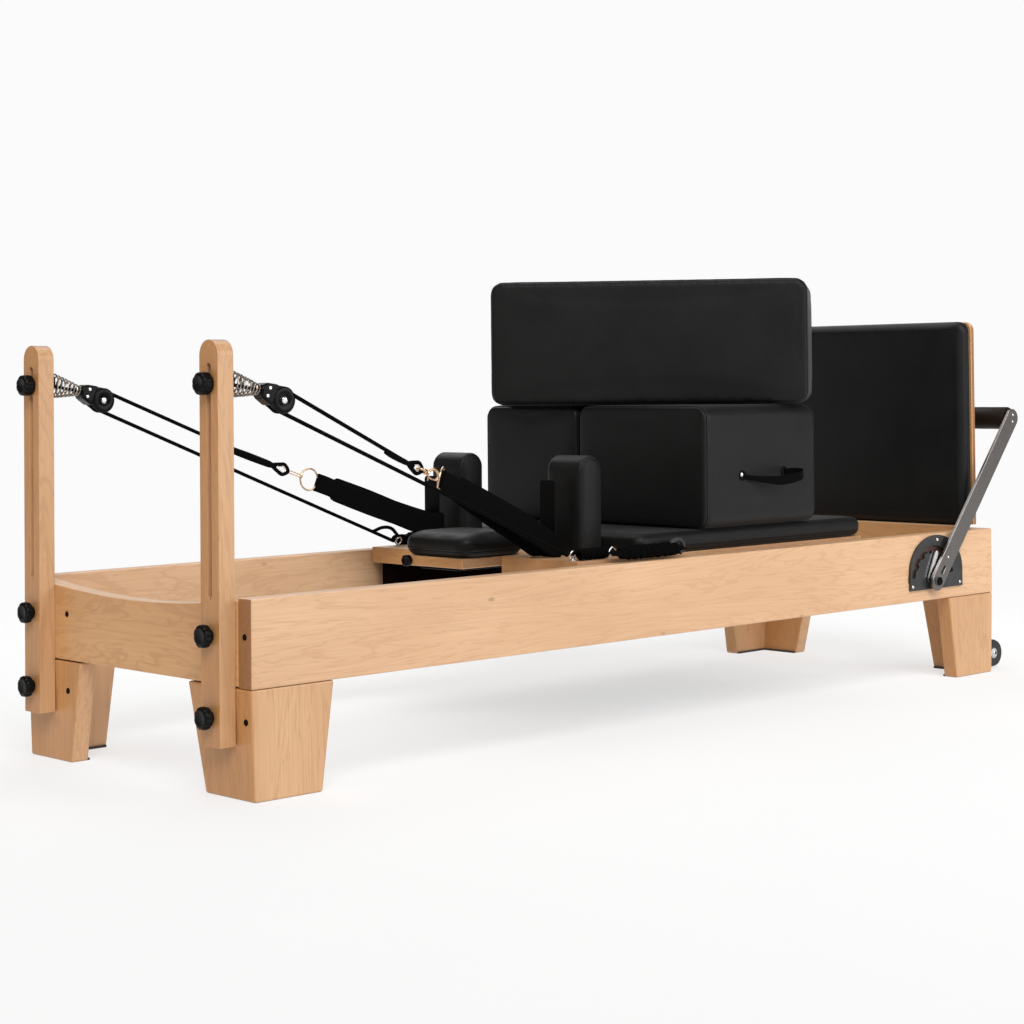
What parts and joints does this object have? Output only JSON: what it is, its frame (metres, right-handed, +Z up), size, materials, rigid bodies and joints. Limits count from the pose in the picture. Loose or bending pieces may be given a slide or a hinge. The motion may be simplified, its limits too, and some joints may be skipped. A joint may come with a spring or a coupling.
{
  "type": "pilates reformer",
  "caption": "Wooden pilates reformer bed with a sliding padded carriage, springs, rope risers, footbar, jumpboard and sitting boxes.",
  "frame": {"origin": "on the floor, under the middle of the whole machine; the bed's middle is 20 mm toward the head", "axes": "+X from the head end (risers) to the foot end (footbar), +Y to the user's left, +Z up"},
  "size_m": [2.5625, 0.8346, 1.0133],
  "materials": {
    "maple_frame": "satin lacquered maple, light honey",
    "maple_carriage": "satin lacquered maple, a little darker",
    "black_leather": "matt black grained upholstery leather",
    "black_plastic": "moulded black plastic, satin",
    "black_steel": "black powder coat",
    "brushed_steel": "brushed steel, warm grey",
    "gunmetal": "dark grey gunmetal coat",
    "track_aluminium": "anodised aluminium",
    "spring_steel": "bright drawn spring wire",
    "black_cord": "braided black cord",
    "black_webbing": "padded black webbing",
    "black_foam": "dense black foam",
    "wheel_rubber": "black rubber",
    "nylon": "dark grey nylon"
  },
  "bodies": {
    "bed": {"side_rail_right": "maple_frame", "side_rail_left": "maple_frame", "head_board": "maple_frame", "foot_board": "maple_frame", "standing_platform": "maple_frame", "riser_right": "maple_frame", "riser_left": "maple_frame", "spring_bar": "gunmetal", "track_right": "track_aluminium", "track_left": "track_aluminium", "leg_head_right": "maple_frame", "leg_head_left": "maple_frame", "leg_foot_right": "maple_frame", "leg_foot_left": "maple_frame", "gear_plate_right": "gunmetal", "gear_plate_left": "gunmetal", "wheel_bracket_right": "gunmetal", "wheel_bracket_left": "gunmetal", "spring_right": "spring_steel", "spring_middle": "spring_steel", "spring_left": "spring_steel"},
    "carriage": {"carriage_platform": "maple_carriage", "carriage_pad": "black_leather", "strap_post_right": "black_steel", "strap_post_left": "black_steel", "rope_right": "black_cord", "rope_left": "black_cord", "strap_right": "black_webbing", "strap_left": "black_webbing"},
    "headrest": {"headrest_board": "maple_carriage", "headrest_cushion": "black_leather"},
    "headrest_knob": {"headrest_knob": "black_plastic"},
    "footbar": {"footbar_frame": "brushed_steel", "footbar_grip": "black_foam"},
    "lock_lever": {"lock_lever": "brushed_steel"},
    "jumpboard": {"jumpboard_panel": "maple_frame", "jumpboard_pad": "black_leather"},
    "box_lower_right": {"box_lower_right": "black_leather"},
    "box_lower_left": {"box_lower_left": "black_leather"},
    "box_upper": {"box_upper": "black_leather"},
    "roller_head_right": {"carriage_roller_head_right": "nylon"},
    "roller_head_left": {"carriage_roller_head_left": "nylon"},
    "roller_foot_right": {"carriage_roller_foot_right": "nylon"},
    "roller_foot_left": {"carriage_roller_foot_left": "nylon"},
    "shoulder_rest_right": {"shoulder_rest_right": "black_leather"},
    "shoulder_rest_left": {"shoulder_rest_left": "black_leather"},
    "pulley_right": {"pulley_carrier_right": "black_steel", "pulley_block_right": "black_plastic"},
    "pulley_knob_right": {"pulley_knob_right": "black_plastic"},
    "sheave_right": {"pulley_sheave_right": "nylon"},
    "riser_knob_lower_right": {"riser_knob_lower_right": "black_plastic"},
    "riser_knob_middle_right": {"riser_knob_middle_right": "black_plastic"},
    "wheel_right": {"transport_wheel_right": "wheel_rubber"},
    "pulley_left": {"pulley_carrier_left": "black_steel", "pulley_block_left": "black_plastic"},
    "pulley_knob_left": {"pulley_knob_left": "black_plastic"},
    "sheave_left": {"pulley_sheave_left": "nylon"},
    "riser_knob_lower_left": {"riser_knob_lower_left": "black_plastic"},
    "riser_knob_middle_left": {"riser_knob_middle_left": "black_plastic"},
    "wheel_left": {"transport_wheel_left": "wheel_rubber"}
  },
  "joints": [
    {"name": "carriage_slide", "type": "slide", "parent": "bed", "child": "carriage", "axis": [1, 0, 0], "range_m": [-0.6, 0], "deforming": ["spring_right", "spring_middle", "spring_left", "rope_right", "rope_left", "strap_right", "strap_left"]},
    {"name": "roller_turn_head_right", "type": "hinge", "parent": "carriage", "child": "roller_head_right", "pos_m": [-0.26, -0.334, 0.278], "axis": [0, 1, 0], "range_deg": [-2192, 2]},
    {"name": "roller_turn_head_left", "type": "hinge", "parent": "carriage", "child": "roller_head_left", "pos_m": [-0.26, 0.334, 0.278], "axis": [0, 1, 0], "range_deg": [-2192, 2]},
    {"name": "roller_turn_foot_right", "type": "hinge", "parent": "carriage", "child": "roller_foot_right", "pos_m": [0.58, -0.334, 0.278], "axis": [0, 1, 0], "range_deg": [-2192, 2]},
    {"name": "roller_turn_foot_left", "type": "hinge", "parent": "carriage", "child": "roller_foot_left", "pos_m": [0.58, 0.334, 0.278], "axis": [0, 1, 0], "range_deg": [-2192, 2]},
    {"name": "headrest_tilt", "type": "hinge", "parent": "carriage", "child": "headrest", "pos_m": [-0.223, 0, 0.382], "axis": [0, 1, 0], "range_deg": [0, 45]},
    {"name": "headrest_knob_turn", "type": "hinge", "parent": "headrest", "child": "headrest_knob", "pos_m": [-0.43, 0.08, 0.371], "axis": [1, 0, 0], "continuous": true},
    {"name": "shoulder_rest_lift_right", "type": "slide", "parent": "carriage", "child": "shoulder_rest_right", "axis": [0, 0, 1], "range_m": [0, 0.15]},
    {"name": "shoulder_rest_lift_left", "type": "slide", "parent": "carriage", "child": "shoulder_rest_left", "axis": [0, 0, 1], "range_m": [0, 0.15]},
    {"name": "footbar_fold", "type": "hinge", "parent": "bed", "child": "footbar", "pos_m": [0.907, 0, 0.257], "axis": [0, 1, 0], "range_deg": [-6, 60]},
    {"name": "lock_lever_swing", "type": "hinge", "parent": "footbar", "child": "lock_lever", "pos_m": [0.888, -0.4003, 0.263], "axis": [0, 1, 0], "range_deg": [-8, 3]},
    {"name": "jumpboard_lift", "type": "slide", "parent": "bed", "child": "jumpboard", "axis": [0, 0, 1], "range_m": [0, 0.25]},
    {"name": "box_lower_right_slide", "type": "slide", "parent": "carriage", "child": "box_lower_right", "axis": [0, -1, 0], "range_m": [0, 0.45]},
    {"name": "box_lower_left_slide", "type": "slide", "parent": "carriage", "child": "box_lower_left", "axis": [0, 1, 0], "range_m": [0, 0.45]},
    {"name": "box_upper_lift", "type": "slide", "parent": "carriage", "child": "box_upper", "axis": [0, 0, 1], "range_m": [0, 0.3]},
    {"name": "pulley_height_right", "type": "slide", "parent": "bed", "child": "pulley_right", "axis": [0, 0, 1], "range_m": [-0.3, 0.025]},
    {"name": "pulley_knob_turn_right", "type": "hinge", "parent": "pulley_right", "child": "pulley_knob_right", "pos_m": [-1.2566, -0.312, 0.773], "axis": [1, 0, 0], "continuous": true},
    {"name": "sheave_turn_right", "type": "hinge", "parent": "pulley_right", "child": "sheave_right", "pos_m": [-1.088, -0.312, 0.74], "axis": [0, 1, 0], "continuous": true},
    {"name": "riser_knob_turn_lower_right", "type": "hinge", "parent": "bed", "child": "riser_knob_lower_right", "pos_m": [-1.2626, -0.312, 0.155], "axis": [1, 0, 0], "continuous": true},
    {"name": "riser_knob_turn_middle_right", "type": "hinge", "parent": "bed", "child": "riser_knob_middle_right", "pos_m": [-1.2626, -0.312, 0.306], "axis": [1, 0, 0], "continuous": true},
    {"name": "wheel_turn_right", "type": "hinge", "parent": "bed", "child": "wheel_right", "pos_m": [1.225, -0.355, 0.041], "axis": [0, 1, 0], "continuous": true},
    {"name": "pulley_height_left", "type": "slide", "parent": "bed", "child": "pulley_left", "axis": [0, 0, 1], "range_m": [-0.3, 0.025]},
    {"name": "pulley_knob_turn_left", "type": "hinge", "parent": "pulley_left", "child": "pulley_knob_left", "pos_m": [-1.2566, 0.312, 0.773], "axis": [1, 0, 0], "continuous": true},
    {"name": "sheave_turn_left", "type": "hinge", "parent": "pulley_left", "child": "sheave_left", "pos_m": [-1.088, 0.312, 0.74], "axis": [0, 1, 0], "continuous": true},
    {"name": "riser_knob_turn_lower_left", "type": "hinge", "parent": "bed", "child": "riser_knob_lower_left", "pos_m": [-1.2626, 0.312, 0.155], "axis": [1, 0, 0], "continuous": true},
    {"name": "riser_knob_turn_middle_left", "type": "hinge", "parent": "bed", "child": "riser_knob_middle_left", "pos_m": [-1.2626, 0.312, 0.306], "axis": [1, 0, 0], "continuous": true},
    {"name": "wheel_turn_left", "type": "hinge", "parent": "bed", "child": "wheel_left", "pos_m": [1.225, 0.355, 0.041], "axis": [0, 1, 0], "continuous": true}
  ],
  "couplings": [
    {"joint": "roller_turn_head_right", "follows": "carriage_slide", "rad_per_m": 63.694},
    {"joint": "roller_turn_head_left", "follows": "carriage_slide", "rad_per_m": 63.694},
    {"joint": "roller_turn_foot_right", "follows": "carriage_slide", "rad_per_m": 63.694},
    {"joint": "roller_turn_foot_left", "follows": "carriage_slide", "rad_per_m": 63.694}
  ]
}
